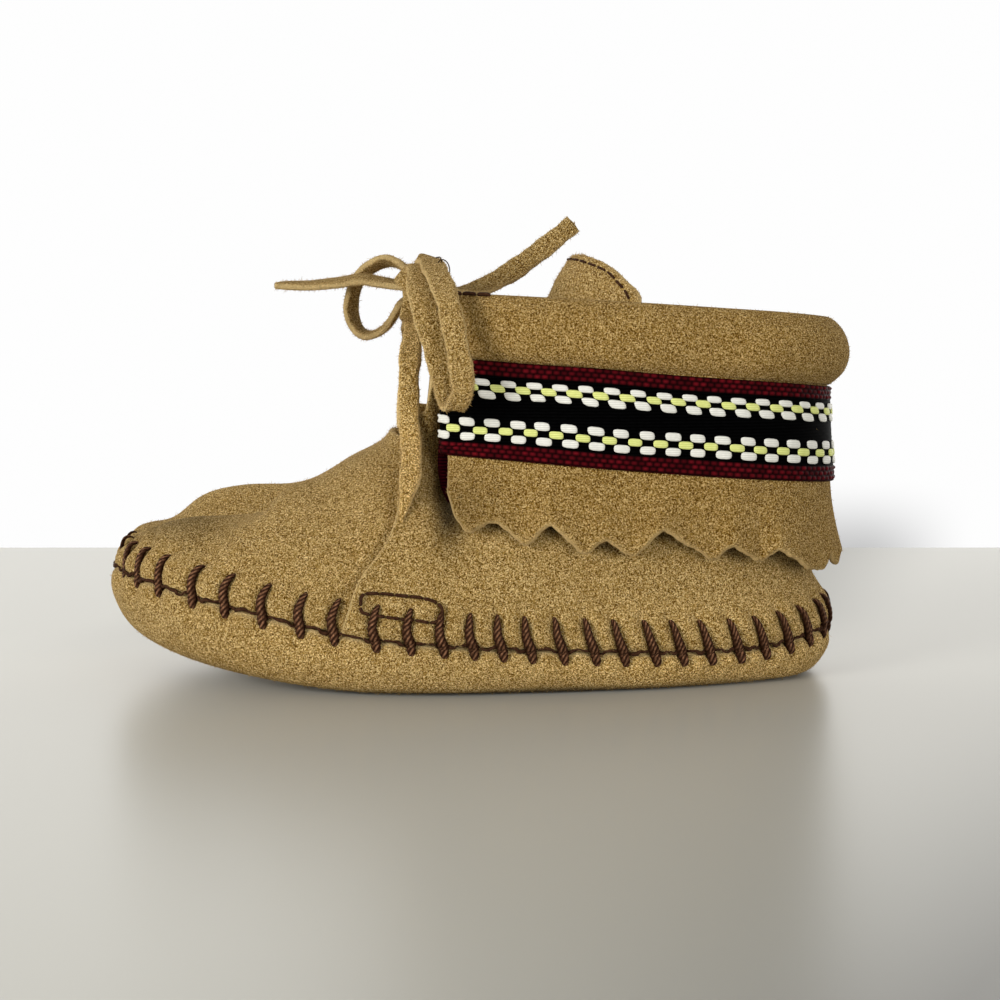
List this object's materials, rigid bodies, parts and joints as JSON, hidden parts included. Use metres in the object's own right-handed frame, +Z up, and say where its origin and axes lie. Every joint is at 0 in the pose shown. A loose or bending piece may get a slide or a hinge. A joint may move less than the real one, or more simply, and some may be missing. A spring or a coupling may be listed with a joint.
{
  "type": "moccasin bootie",
  "caption": "Soft-soled suede moccasin bootie for an infant: puckered whip-stitched seam, lapped quarters, tongue, turned-down cuff with pinked flap and woven ribbon, thong lace tied in a bow.",
  "frame": {"origin": "middle of the shoe's plan, on the floor it stands on", "axes": "+Z up, -X to the toe, +X to the heel, -Y to the outer side of the foot, which is the side that the picture shows"},
  "size_m": [0.1228, 0.055, 0.0766],
  "materials": {
    "suede": "napped tan suede",
    "insole": "napped suede pad",
    "ribbon": "woven trim, black ground with checks and dark red edges",
    "lace": "suede thong with cut edges"
  },
  "bodies": {
    "root": {"sole": "suede", "insole": "insole", "upper": "suede", "tongue": "suede", "cuff": "suede", "ribbon": "ribbon", "lace_bar": "lace", "lace_knot": "lace", "lace_loop_near": "lace", "lace_loop_far": "lace", "lace_end_front": "lace", "lace_end_back": "lace"}
  },
  "joints": []
}
